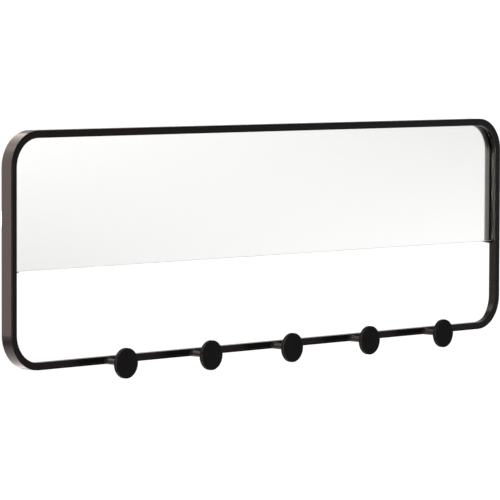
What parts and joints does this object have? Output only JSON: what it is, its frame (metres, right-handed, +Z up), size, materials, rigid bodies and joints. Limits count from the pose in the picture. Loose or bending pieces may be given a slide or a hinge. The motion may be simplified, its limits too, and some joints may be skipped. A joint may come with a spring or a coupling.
{
  "type": "wall mirror with hooks",
  "caption": "Wide wall mirror in a rounded steel frame, with an open window below the glass and a row of disc-ended pegs on the lower rail.",
  "frame": {"origin": "on the wall plane, midway between the round ends of the two keyholes that the frame hangs from", "axes": "+X to the right along the wall as seen from the front, +Y into the wall, +Z up; the front faces -Y"},
  "size_m": [0.95, 0.0567, 0.3161],
  "materials": {
    "frame_paint": "satin, warm black powder coat on bent and welded steel",
    "disc_paint": "matt, near-black powder coat",
    "stem_paint": "glossy, thin bronze-black lacquer over bare rod and weld",
    "glass": "polished float glass, arrised edges",
    "silver": "silvered, grey paint behind",
    "foam_tape": "white foam tape",
    "fibreboard": "raw medium density fibreboard",
    "zinc_plate": "zinc plated, satin",
    "screw_steel": "bright zinc plated",
    "bumper_rubber": "matt black rubber"
  },
  "bodies": {
    "root": {"outer_band": "frame_paint", "inner_tube": "frame_paint", "mirror_rest_left": "frame_paint", "mirror_rest_right": "frame_paint", "mirror_glass": "glass", "mirror_silver": "silver", "foam_tapes": "foam_tape", "back_board": "fibreboard", "board_tabs": "zinc_plate", "tab_screws": "screw_steel", "hanger_plate_left": "zinc_plate", "hanger_plate_right": "zinc_plate", "hanger_screws": "screw_steel", "bumper_left": "bumper_rubber", "bumper_right": "bumper_rubber", "hook_stem_1": "stem_paint", "hook_stem_2": "stem_paint", "hook_stem_3": "stem_paint", "hook_stem_4": "stem_paint", "hook_stem_5": "stem_paint", "hook_disc_1": "disc_paint", "hook_disc_2": "disc_paint", "hook_disc_3": "disc_paint", "hook_disc_4": "disc_paint", "hook_disc_5": "disc_paint"}
  },
  "joints": []
}
